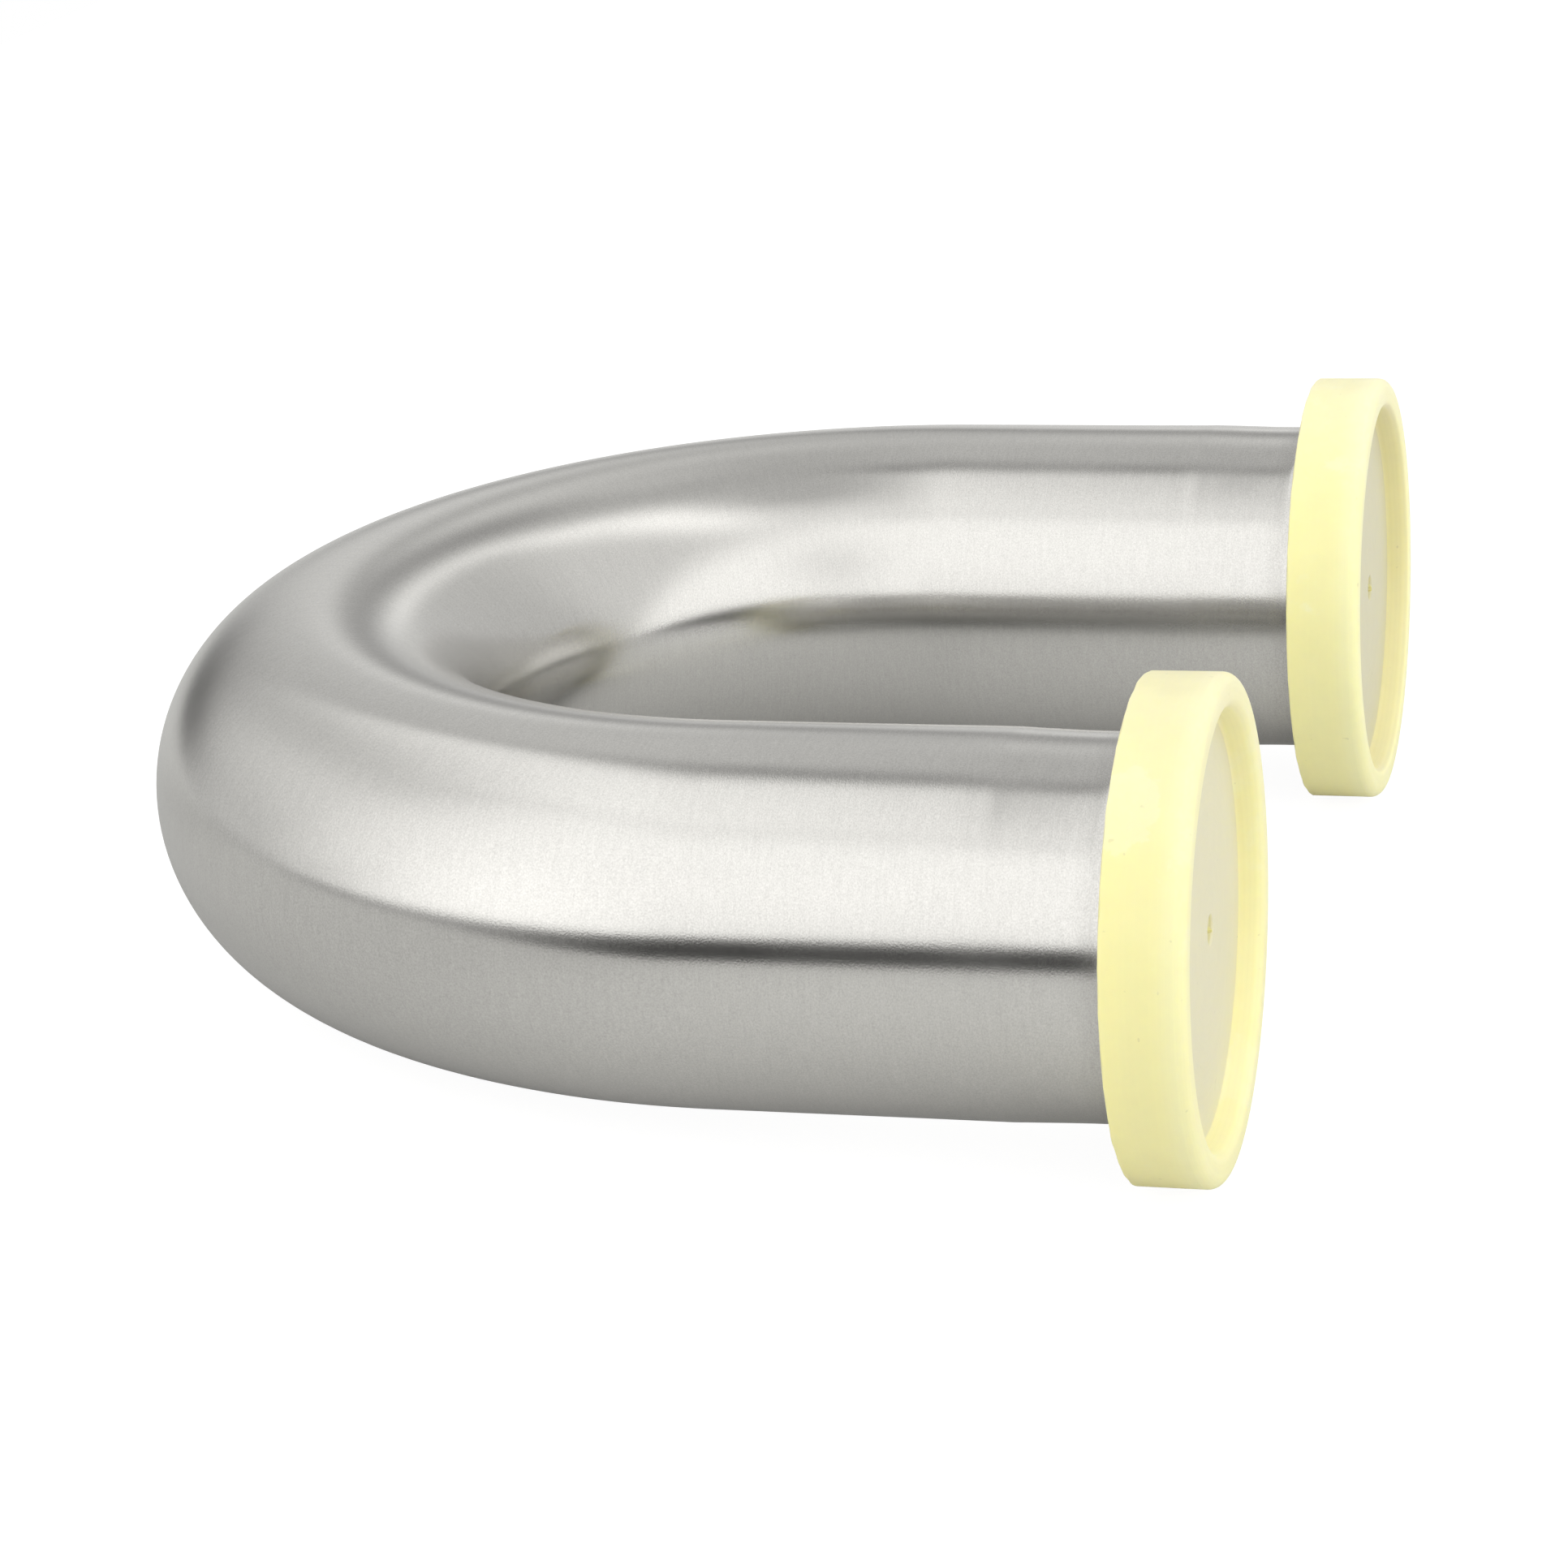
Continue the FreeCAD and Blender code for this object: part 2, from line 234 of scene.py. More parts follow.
def turned_points(offset, along, radius, turn):
    """Points of a piece turned about the axis of a mouth: X is along it, and turn counts from -Y upwards."""
    return np.stack([along, offset - radius * np.cos(turn), radius * np.sin(turn)], -1)


def rounded(corners, step=math.radians(11)):
    """A profile through the corners, given as (along, radius, rounding).

    Each rounded corner becomes an arc that touches both its sides, in equal steps of angle.
    """
    points = []
    count = len(corners)
    for index, (along, radius, rounding) in enumerate(corners):
        here = np.array([along, radius])
        before = np.array(corners[index - 1][:2]) - here
        after = np.array(corners[(index + 1) % count][:2]) - here
        if rounding <= 0:
            points.append(here[None])
            continue
        before /= np.linalg.norm(before)
        after /= np.linalg.norm(after)
        half = math.acos(np.clip(before @ after, -1, 1)) / 2
        middle = here + (before + after) / np.linalg.norm(before + after) * rounding / math.sin(half)
        first = here + before * rounding / math.tan(half) - middle
        last = here + after * rounding / math.tan(half) - middle
        swing = math.atan2(first[0] * last[1] - first[1] * last[0], first @ last)
        turns = np.linspace(0, swing, max(3, int(abs(swing) / step) + 2))
        across = np.array([-first[1], first[0]])
        points.append(middle + np.cos(turns)[:, None] * first + np.sin(turns)[:, None] * across)
    return np.concatenate(points)


def divided(profile, start, end, places):
    """The profile with more points on its straight run from start to end, at the shares in places."""
    run = profile[start] + np.asarray(places)[:, None] * (profile[end] - profile[start])
    return np.concatenate([profile[: start + 1], run, profile[start + 1:]])


def shell(name, points, flow, closed, lengths, poles=None):
    """A smooth mesh through a grid of points, whose rows follow a profile and whose columns go round.

    closed joins the last row to the first. Otherwise poles gives the two points on the axis that close
    the ends. In the UV map, U is the length along the profile and V goes from 0 to 1 round the piece.
    """
    rows, columns = points.shape[:2]
    number = np.arange(rows * columns).reshape(rows, columns)
    beside = np.roll(number, -1, axis=1)
    low, high = (number, np.roll(number, -1, axis=0)) if closed else (number[:-1], number[1:])
    low_beside = beside if closed else beside[:-1]
    high_beside = np.roll(beside, -1, axis=0) if closed else beside[1:]
    quads = np.stack([low, low_beside, high_beside, high], -1).reshape(-1, 4)
    round_share = np.broadcast_to(np.arange(columns) / columns, low.shape)
    low_length = np.broadcast_to(lengths[: len(low), None], low.shape)
    high_length = np.broadcast_to(np.roll(lengths, -1)[: len(low), None], low.shape)
    u = np.stack([low_length, low_length, high_length, high_length], -1).reshape(-1)
    after = round_share + 1 / columns
    v = np.stack([round_share, after, after, round_share], -1).reshape(-1)
    vertices = points.reshape(-1, 3)
    flows = flow.reshape(-1, 3)
    faces = quads.tolist()
    if not closed:
        first_pole, last_pole = len(vertices), len(vertices) + 1
        vertices = np.concatenate([vertices, poles])
        flows = np.concatenate([flows, flows[:1], flows[-1:]])
        first_fan = np.stack([np.full(columns, first_pole), beside[0], number[0]], -1)
        last_fan = np.stack([np.full(columns, last_pole), number[-1], beside[-1]], -1)
        faces += first_fan.tolist() + last_fan.tolist()
        share = round_share[0]
        u = np.concatenate([u, np.full(columns * 3, lengths[0]), np.full(columns * 3, lengths[-1])])
        v = np.concatenate([v, np.stack([share, share + 1 / columns, share], -1).reshape(-1),
                            np.stack([share, share, share + 1 / columns], -1).reshape(-1)])
    mesh = bpy.data.meshes.new(name)
    mesh.from_pydata(vertices.tolist(), [], faces)
    uv = mesh.uv_layers.new(name=UV_MAP)
    uv.data.foreach_set("uv", np.stack([u / UV_UNIT, v], -1).astype(np.float32).ravel())
    attribute = mesh.attributes.new(FLOW, "FLOAT_VECTOR", "POINT")
    attribute.data.foreach_set("vector", flows.astype(np.float32).ravel())
    mesh.shade_smooth()
    mesh.set_sharp_from_angle(angle=SHARP_ANGLE)
    mesh.update()
    piece = bpy.data.objects.new(name, mesh)
    bpy.context.scene.collection.objects.link(piece)
    return piece


def profile_lengths(profile):
    """Length along a profile from its first point to each of its points."""
    steps = np.linalg.norm(np.diff(profile, axis=0), axis=1)
    return np.concatenate([[0], np.cumsum(steps)])


def steel_offset(tube, ferrule, along, turn):
    """How far the finished steel stands from a true tube.

    Each weld is a low crown. Grinding has thinned the necks from the welds to the caps, and each neck
    sits a step above or below the tube. Bending and hand polishing leave faint hollows: a sum of slow
    waves along the tube that change round it, shifted inwards so that no crest passes a true tube.
    """
    crown_width = 1.4 * MM
    ground_from, ground_to = 26 * MM, 9 * MM
    step_from, step_to = 25 * MM, 17 * MM
    long_wave, middle_wave, short_wave = 11.9 * MM, 7.3 * MM, 4.6 * MM
    highest_sum = 2.35

    _, whole = path_lengths(tube, ferrule)
    reach = np.minimum(along, whole - along)
    crown = bell(reach, ferrule.length, crown_width)
    step = np.where(along < whole / 2, tube.left_step, tube.right_step)
    ground = tube.ground * smooth_step(reach, ground_from, ground_to)
    ground = ground - step * np.sin(turn) * smooth_step(reach, step_from, step_to)
    waves = (np.sin(along / middle_wave + 1.3 * np.sin(turn)) * np.cos(turn + 0.7)
             + np.sin(along / long_wave + 2.1 + np.cos(2 * turn)) * np.sin(turn - 0.4)
             + np.sin(along / short_wave + 2 * turn) * 0.35)
    faded = smooth_step(along, ferrule.length * 0.4, ferrule.length * 1.6)
    faded = faded * smooth_step(whole - along, ferrule.length * 0.4, ferrule.length * 1.6)
    return tube.weld_crown * crown - ground + tube.ripple * faded * (waves / highest_sum - 3) / 2


class Sockets:
    """Shortens the making of node trees: a method adds its nodes and returns the last one's output."""

    def __init__(self, tree):
        self.tree = tree
        tree.nodes.clear()

    def node(self, kind, **settings):
        made = self.tree.nodes.new(kind)
        for name, value in settings.items():
            setattr(made, name, value)
        return made

    def feed(self, socket, value):
        if isinstance(value, bpy.types.NodeSocket):
            self.tree.links.new(value, socket)
        elif value is not None:
            socket.default_value = value

    def math(self, operation, first, second=None):
        made = self.node("ShaderNodeMath", operation=operation)
        self.feed(made.inputs[0], first)
        self.feed(made.inputs[1], second)
        return made.outputs[0]

    def add(self, first, second):
        return self.math("ADD", first, second)

    def times(self, first, second):
        return self.math("MULTIPLY", first, second)

    def less(self, first, second):
        return self.math("SUBTRACT", first, second)

    def plus(self, total, share, amount):
        return self.add(total, self.times(share, amount))

    def varied(self, total, pattern, amount, middle=0.5):
        """The total, plus an amount of how far a pattern lies above its middle."""
        return self.plus(total, self.less(pattern, middle), amount)

    def dimmed(self, value, share, amount):
        """The value, less an amount of itself where share is 1."""
        return self.times(value, self.less(1.0, self.times(share, amount)))

    def lifted(self, value, share, amount):
        """The value, plus an amount of itself where share is 1."""
        return self.times(value, self.plus(1.0, share, amount))

    def toward(self, value, goal, share):
        """The value where share is 0, and the goal where it is 1."""
        return self.plus(value, self.less(goal, value), share)

    def step(self, value, low, high, start=0.0, end=1.0):
        """Goes smoothly from start at low to end at high."""
        made = self.node("ShaderNodeMapRange", interpolation_type="SMOOTHSTEP")
        for name, given in (("Value", value), ("From Min", low), ("From Max", high),
                            ("To Min", start), ("To Max", end)):
            self.feed(made.inputs[name], given)
        return made.outputs["Result"]

    def bell(self, value, middle, width):
        """A smooth hump of height 1, down to a third at one width from its middle."""
        share = self.math("DIVIDE", self.less(value, middle), width)
        return self.math("EXPONENT", self.times(self.times(share, share), -1.0))

    def scaled(self, vector, factors):
        made = self.node("ShaderNodeVectorMath", operation="MULTIPLY")
        self.feed(made.inputs[0], vector)
        self.feed(made.inputs[1], factors)
        return made.outputs[0]

    def noise(self, vector, scale, detail=2.0, roughness=0.5):
        made = self.node("ShaderNodeTexNoise", noise_dimensions="3D")
        self.feed(made.inputs["Vector"], vector)
        self.feed(made.inputs["Scale"], scale)
        self.feed(made.inputs["Detail"], detail)
        self.feed(made.inputs["Roughness"], roughness)
        return made.outputs["Fac"]

    def drawn(self, vector, lengthwise, crosswise, detail=2.0, roughness=0.5):
        """Noise stretched along the first axis, with so many waves to the metre along and across it."""
        stretched = self.scaled(vector, (lengthwise, crosswise, crosswise))
        return self.noise(stretched, 1.0, detail, roughness)

    def split(self, vector):
        made = self.node("ShaderNodeSeparateXYZ")
        self.feed(made.inputs[0], vector)
        return made.outputs

    def mixed(self, factor, first, second):
        made = self.node("ShaderNodeMix", data_type="RGBA", blend_type="MIX")
        self.feed(made.inputs["Factor"], factor)
        self.feed(made.inputs[6], first)
        self.feed(made.inputs[7], second)
        return made.outputs[2]

    def shade(self, colour, factor):
        """The colour made lighter or darker by a factor."""
        made = self.node("ShaderNodeVectorMath", operation="SCALE")
        self.feed(made.inputs[0], colour)
        self.feed(made.inputs["Scale"], factor)
        return made.outputs[0]

    def bump(self, height, depth):
        made = self.node("ShaderNodeBump")
        self.feed(made.inputs["Height"], height)
        self.feed(made.inputs["Distance"], depth)
        self.feed(made.inputs["Strength"], 1.0)
        return made.outputs[0]


def new_material(name):
    material = bpy.data.materials.new(name)
    material.use_nodes = True
    return material, Sockets(material.node_tree)


def finish_material(sockets, shader):
    output = sockets.node("ShaderNodeOutputMaterial")
    sockets.feed(output.inputs["Surface"], shader.outputs[0])


def brushed_steel(name, scene, weld_places):
    """Stainless steel brushed round the tube, worked over by hand at the welds.

    The flow attribute holds the point on the tube as if it were straight: length along it, then its
    section. Noise that is fine along the tube and long round it makes the belt's lines. The bore is
    pickled and matt, and the steel next to each cap is a little duller.
    """
    finish, tube = scene.finishes, scene.tube_sizes
    weld_width = 5.5 * MM
    dull_from, dull_to = 11.0 * MM, 6.5 * MM
    depth = 0.006 * MM

    material, sockets = new_material(name)
    flow = sockets.node("ShaderNodeAttribute", attribute_name=FLOW).outputs["Vector"]
    along, outward, upward = sockets.split(flow)
    radius = sockets.math("SQRT", sockets.add(sockets.times(outward, outward),
                                              sockets.times(upward, upward)))
    bore = tube.outside / 2 - tube.wall
    inside = sockets.step(radius, bore + 0.6 * MM, bore + 0.2 * MM)

    first_weld, second_weld = weld_places
    weld = sockets.add(sockets.bell(along, first_weld, weld_width),
                       sockets.bell(along, second_weld, weld_width))
    blotch = sockets.drawn(flow, 110.0, 75.0)
    worked = sockets.times(weld, sockets.times(blotch, 1.3))
    middle = (first_weld + second_weld) / 2
    reach = sockets.less(middle, sockets.math("ABSOLUTE", sockets.less(along, middle)))
    by_cap = sockets.step(reach, dull_from, dull_to)

    fine = 1 / finish.line_spacing
    lines = sockets.drawn(flow, fine, fine / 8, 3.0, 0.6)
    slanted_flow = sockets.node("ShaderNodeCombineXYZ")
    sockets.feed(slanted_flow.inputs[0], sockets.less(along, sockets.times(outward, 0.5)))
    sockets.feed(slanted_flow.inputs[1], outward)
    sockets.feed(slanted_flow.inputs[2], upward)
    slanted = sockets.drawn(slanted_flow.outputs[0], fine, fine / 7, 3.0, 0.6)
    grain = sockets.drawn(flow, 5200.0, 3800.0, 1.0)
    streak = sockets.drawn(flow, 2600.0, 330.0)
    broad = sockets.drawn(flow, 820.0, 60.0, 3.0, 0.55)
    cloud = sockets.drawn(flow, 26.0, 34.0, 3.0, 0.55)

    brushed = sockets.node("ShaderNodeMix", data_type="FLOAT")
    sockets.feed(brushed.inputs[0], sockets.times(worked, 0.85))
    sockets.feed(brushed.inputs[2], lines)
    sockets.feed(brushed.inputs[3], slanted)
    height = sockets.add(sockets.times(brushed.outputs[0], 0.6), sockets.times(grain, 0.9))
    height = sockets.plus(height, broad, 0.25)

    roughness = sockets.varied(finish.steel_roughness, cloud, 0.10)
    roughness = sockets.plus(roughness, worked, 0.03)
    roughness = sockets.plus(roughness, by_cap, 0.05)
    roughness = sockets.plus(roughness, inside, 0.30)
    tone = 1.0
    for pattern, amount in ((broad, 0.04), (cloud, 0.06), (grain, 0.40), (streak, 0.14)):
        tone = sockets.varied(tone, pattern, amount)
    tone = sockets.plus(tone, by_cap, -0.10)

    shader = sockets.node("ShaderNodeBsdfPrincipled")
    sockets.feed(shader.inputs["Base Color"], sockets.shade((*finish.steel,), tone))
    sockets.feed(shader.inputs["Metallic"], 1.0)
    sockets.feed(shader.inputs["Roughness"], roughness)
    sockets.feed(shader.inputs["Anisotropic"], 0.55)
    tangent = sockets.node("ShaderNodeTangent", direction_type="UV_MAP", uv_map=UV_MAP)
    sockets.feed(shader.inputs["Tangent"], tangent.outputs[0])
    sockets.feed(shader.inputs["Normal"], sockets.bump(height, depth))
    finish_material(sockets, shader)
    return material


def moulded_plastic(name, scene):
    """Soft polyethylene: light goes in and spreads; the disc, thin over the dark bore, has the bore's shade
    painted in as grey.

    The rim is paler, the top of each cap has a painted sheen, and ragged pale clouds and dark specks lie
    over the whole, with a painted highlight patch on the left cap. The cap on the right has painted shade
    inside its rim and painted light elsewhere.
    """
    finish, cap = scene.finishes, scene.cap_sizes
    dimple_colour = (0.62, 0.57, 0.23, 1.0)
    stub_colour = (0.95, 0.92, 0.68, 1.0)
    # Colour of the pale clouds, and of the painted highlight patch.
    cloud_colour = (0.93, 0.91, 0.66, 1.0)
    rim_colour = (0.92, 0.87, 0.53, 1.0)
    # Painted sheen: a paler colour on the top of each cap, where the light from above falls.
    crest_colour = (0.91, 0.84, 0.58, 1.0)
    ring_scale = 1900.0

    material, sockets = new_material(name)
    flow = sockets.node("ShaderNodeAttribute", attribute_name=FLOW).outputs["Vector"]
    along, radius, _ = sockets.split(flow)
    place = sockets.node("ShaderNodeTexCoord").outputs["Object"]
    _, sideways, upward = sockets.split(place)
    cloud = sockets.noise(place, 65.0, 3.0, 0.6)
    fine_cloud = sockets.noise(place, 300.0, 2.0, 0.5)
    ragged = sockets.noise(place, 48.0, 6.0, 0.62)

    _, _, lip, _ = cap_radii(scene.ferrule_sizes, cap)
    # The disc: where the colour with the bore's painted shade goes.
    thin = sockets.step(radius, lip - 1.05 * MM, lip - 1.5 * MM)
    thin = sockets.times(thin, sockets.step(along, cap.disc + 0.8 * MM, cap.disc + 0.2 * MM))
    dimple = sockets.times(sockets.step(radius, cap.gate / 2, cap.gate / 2 - 0.3 * MM), thin)
    stub = sockets.step(along, cap.disc + cap.bulge + 0.05 * MM, cap.disc + cap.bulge + 0.25 * MM)
    stub = sockets.times(stub, sockets.step(radius, cap.stub, cap.stub * 0.7))
    pale = sockets.times(sockets.step(ragged, 0.58, 0.63), sockets.less(1.0, thin))
    # A ragged pale patch round one point of the left cap: painted highlight, joined to the pale clouds.
    away = sockets.node("ShaderNodeVectorMath", operation="DISTANCE")
    sockets.feed(away.inputs[0], place)
    sockets.feed(away.inputs[1], CLOUDY_PATCH)
    reach = sockets.varied(away.outputs["Value"], ragged, 26 * MM)
    pale = sockets.math("MAXIMUM", pale, sockets.step(reach, 4.2 * MM, 3.4 * MM))
    rim = sockets.step(along, 1 * MM, 4 * MM)
    # The top of each cap, which gets a painted sheen.
    crest = sockets.step(sockets.plus(upward, cloud, 12 * MM), 24 * MM, 42 * MM)

    # The disc takes the grey colour, painted shade of the dark bore behind it.
    colour = sockets.mixed(thin, (*finish.plastic, 1.0), (*finish.thin_plastic, 1.0))
    colour = sockets.mixed(sockets.times(dimple, 0.9), colour, dimple_colour)
    colour = sockets.mixed(stub, colour, stub_colour)
    colour = sockets.mixed(sockets.times(pale, 0.3), colour, cloud_colour)
    colour = sockets.mixed(sockets.times(rim, 0.5), colour, rim_colour)
    # Painted sheen mixed in at the top.
    colour = sockets.mixed(sockets.times(crest, 0.55), colour, crest_colour)

    rings = sockets.node("ShaderNodeCombineXYZ")
    sockets.feed(rings.inputs[0], sockets.times(along, ring_scale))
    sockets.feed(rings.inputs[1], sockets.times(radius, ring_scale))
    rings = sockets.noise(rings.outputs[0], 1.0, 2.0)
    rings = sockets.times(rings, sockets.step(along, 0.5 * MM, 3.5 * MM, 0.25, 1.0))
    specks = sockets.step(sockets.noise(place, 700.0, 1.0), 0.76, 0.80)
    # Painted light and shade on the right cap: darker within the rim's lip, a little lighter elsewhere.
    right_cap = sockets.step(sideways, 60 * MM, 90 * MM)
    recess = sockets.step(radius, lip + 0.6 * MM, lip + 0.1 * MM, 0.04, -0.13)
    tone = sockets.varied(1.0, fine_cloud, 0.05)
    tone = sockets.varied(tone, cloud, 0.05)
    tone = sockets.plus(tone, specks, -0.12)
    tone = sockets.varied(tone, rings, 0.09, 0.3)
    tone = sockets.plus(tone, right_cap, recess)

    shader = sockets.node("ShaderNodeBsdfPrincipled")
    sockets.feed(shader.inputs["Base Color"], sockets.shade(colour, tone))
    sockets.feed(shader.inputs["Roughness"], sockets.varied(finish.plastic_roughness, cloud, 0.12))
    sockets.feed(shader.inputs["IOR"], 1.51)
    sockets.feed(shader.inputs["Subsurface Weight"], 0.5)
    sockets.feed(shader.inputs["Subsurface Radius"], (1.0, 0.85, 0.35))
    sockets.feed(shader.inputs["Subsurface Scale"], 1.6 * MM)
    skin = sockets.plus(fine_cloud, sockets.noise(place, 1400.0, 2.0), 0.35)
    skin = sockets.plus(skin, rings, 0.5)
    sockets.feed(shader.inputs["Normal"], sockets.bump(skin, 0.02 * MM))
    finish_material(sockets, shader)
    return material


def pale_floor(name):
    """White floor that keeps the object's shadow; rays that show it as a background see it nearly white.

    Mirrored in the steel it has painted shade to the left, and between the two legs.
    """
    shown_to_camera, shown_in_mirrors = 0.78, 0.06
    dull_middle, dull_width = 100 * MM, 50 * MM

    material, sockets = new_material(name)
    ray = sockets.node("ShaderNodeLightPath").outputs
    mirrored = sockets.add(ray["Is Glossy Ray"], ray["Is Transmission Ray"])
    shown = sockets.add(sockets.times(ray["Is Camera Ray"], shown_to_camera),
                        sockets.times(mirrored, shown_in_mirrors))
    lit = sockets.node("ShaderNodeBsdfDiffuse")
    place = sockets.split(sockets.node("ShaderNodeTexCoord").outputs["Object"])
    # Painted shade on the floor, seen only in the steel: to the left, and between the two legs.
    dull = sockets.plus(sockets.step(place[0], -40 * MM, -170 * MM, 0.09, 0.26),
                        sockets.bell(place[1], dull_middle, dull_width), 0.10)
    dull = sockets.times(dull, ray["Is Glossy Ray"])
    sockets.feed(lit.inputs["Color"], sockets.shade((0.75, 0.75, 0.74), sockets.less(1.0, dull)))
    white = sockets.node("ShaderNodeEmission")
    sockets.feed(white.inputs["Strength"], 1.2)
    mix = sockets.node("ShaderNodeMixShader")
    sockets.feed(mix.inputs[0], shown)
    sockets.feed(mix.inputs[1], lit.outputs[0])
    sockets.feed(mix.inputs[2], white.outputs[0])
    finish_material(sockets, mix)
    return material


def softbox_and_backdrop(sockets, studio, swing, lean):
    """Brightness of the front and the top of the tent.

    The softbox reaches from the front horizon to top, which lies further round on both sides of split.
    It has a brighter place on the left, a dimmer one high up and another low down, and a fold. The
    backdrop begins beyond it, after a dark seam, and is brighter next to the seam than further down.
    """
    split = 11.0
    left = sockets.math("MINIMUM", sockets.math("MAXIMUM", sockets.less(-split, lean), 0.0), 30.0)
    right = sockets.math("MINIMUM", sockets.math("MAXIMUM", sockets.add(lean, split), 0.0), 12.0)
    top = sockets.add(105.5, sockets.add(sockets.times(left, 1.7), sockets.times(right, 0.5)))
    slope = sockets.less(sockets.times(sockets.add(lean, 35.0), 0.94),
                         sockets.times(sockets.less(swing, 125.0), 0.42))
    box = sockets.times(sockets.step(sockets.less(top, swing), -2.0, 6.0), sockets.step(swing, 3.0, 9.5))
    box = sockets.times(box, sockets.step(slope, -50.0, 34.0))

    hot = sockets.times(sockets.bell(lean, -42.0, 19.0), sockets.bell(swing, 22.0, 31.0))
    front = sockets.plus(studio.softbox, hot, 0.16)
    high = sockets.times(sockets.step(swing, 52.0, 80.0), sockets.step(lean, -13.8, -10.0))
    front = sockets.dimmed(front, high, 0.30)
    low = sockets.times(sockets.step(swing, 36.0, 12.0), sockets.bell(lean, -13.3, 2.6))
    front = sockets.dimmed(front, low, 0.17)
    fold = sockets.bell(swing, sockets.plus(65.4, left, 1.04), 3.6)
    fold = sockets.times(fold, sockets.step(lean, 10.0, -10.0))
    front = sockets.dimmed(front, fold, 0.12)
    level = sockets.add(sockets.times(front, box),
                        sockets.times(studio.backdrop, sockets.less(1.0, box)))

    side = sockets.times(sockets.bell(lean, -42.0, 12.0), sockets.step(swing, 60.0, 110.0))
    level = sockets.dimmed(level, side, 0.31)
    seam = sockets.times(sockets.bell(swing, sockets.add(top, 0.5), 4.8),
                         sockets.times(sockets.step(lean, -27.0, -14.0), sockets.step(lean, 8.0, -4.0)))
    level = sockets.dimmed(level, seam, 0.97)
    after_seam = sockets.times(sockets.bell(swing, 131.0, 13.0), sockets.bell(lean, -14.0, 8.0))
    level = sockets.lifted(level, after_seam, 0.15)
    horizon = sockets.times(sockets.bell(swing, 153.0, 9.0), sockets.bell(lean, -13.0, 4.0))
    return sockets.dimmed(level, horizon, 0.14)


def curved_edge(sockets, level, swing, lean):
    """The tent's right wall behind the object, with its bright curved edge.

    edge is how far a direction leans beyond that curve, which swings to the left towards the back. Before
    the edge come a dim patch, a dark band and a second, fainter edge. The softbox is dimmer near it.
    """
    over = sockets.times(sockets.math("MAXIMUM", sockets.less(swing, 80.0), 0.0), 0.01)
    edge = sockets.plus(sockets.less(lean, 28.0), sockets.math("POWER", over, 2.3), 41.0)
    beyond = sockets.times(sockets.step(edge, -4.0, 8.0), sockets.step(swing, 60.0, 88.0))
    wall = sockets.step(swing, 118.0, 152.0, 0.95, 0.73)
    level = sockets.toward(level, wall, beyond)
    patch = sockets.times(sockets.bell(edge, -22.0, 11.5), sockets.step(swing, 72.0, 98.0))
    patch = sockets.times(patch, sockets.step(swing, 150.0, 122.0))
    patch = sockets.math("MINIMUM", sockets.times(patch, 1.8), 1.0)
    level = sockets.toward(level, 0.62, patch)
    band = sockets.times(sockets.bell(edge, -12.3, 5.0), sockets.step(swing, 122.0, 142.0))
    level = sockets.dimmed(level, band, 0.42)
    width = sockets.step(swing, 108.0, 138.0, 7.0, 3.6)
    crest = sockets.plus(-3.6, sockets.bell(swing, 125.0, 11.0), 3.0)
    arc = sockets.times(sockets.bell(edge, crest, width), sockets.step(swing, 64.0, 92.0))
    arc = sockets.times(arc, sockets.step(swing, 176.0, 168.0))
    level = sockets.plus(level, arc, sockets.step(swing, 122.0, 150.0, 0.70, 0.40))
    second = sockets.times(sockets.bell(edge, -20.0, 3.8), sockets.step(swing, 116.0, 130.0))
    second = sockets.dimmed(second, sockets.bell(lean, -13.0, 4.2), 0.95)
    level = sockets.lifted(level, second, 0.38)
    soft = sockets.times(sockets.bell(lean, 16.0, 12.0), sockets.bell(swing, 34.0, 20.0))
    return sockets.dimmed(level, soft, 0.2)


def dark_gaps(sockets, level, swing, lean, upward):
    """The gap at the front horizon, the dark corners behind and on the left, and the pale table below."""
    gap_place = sockets.plus(0.3, sockets.add(lean, 12.0), 0.09)
    gap = sockets.step(sockets.math("ABSOLUTE", sockets.less(swing, gap_place)), 8.2, 5.4)
    gap = sockets.times(gap, sockets.step(lean, -66.0, -12.0, 0.37, 0.98))
    level = sockets.times(level, sockets.less(1.0, gap))
    behind = sockets.step(sockets.math("ABSOLUTE", swing), 160.0, 170.0)
    behind = sockets.times(behind, sockets.bell(lean, -45.0, 14.0))
    level = sockets.dimmed(level, behind, 0.75)
    far_left = sockets.times(sockets.bell(lean, -82.0, 14.0), sockets.step(swing, 60.0, 30.0))
    level = sockets.dimmed(level, far_left, 0.24)
    under = sockets.step(upward, -0.11, -0.14)
    return sockets.toward(level, 0.70, under)


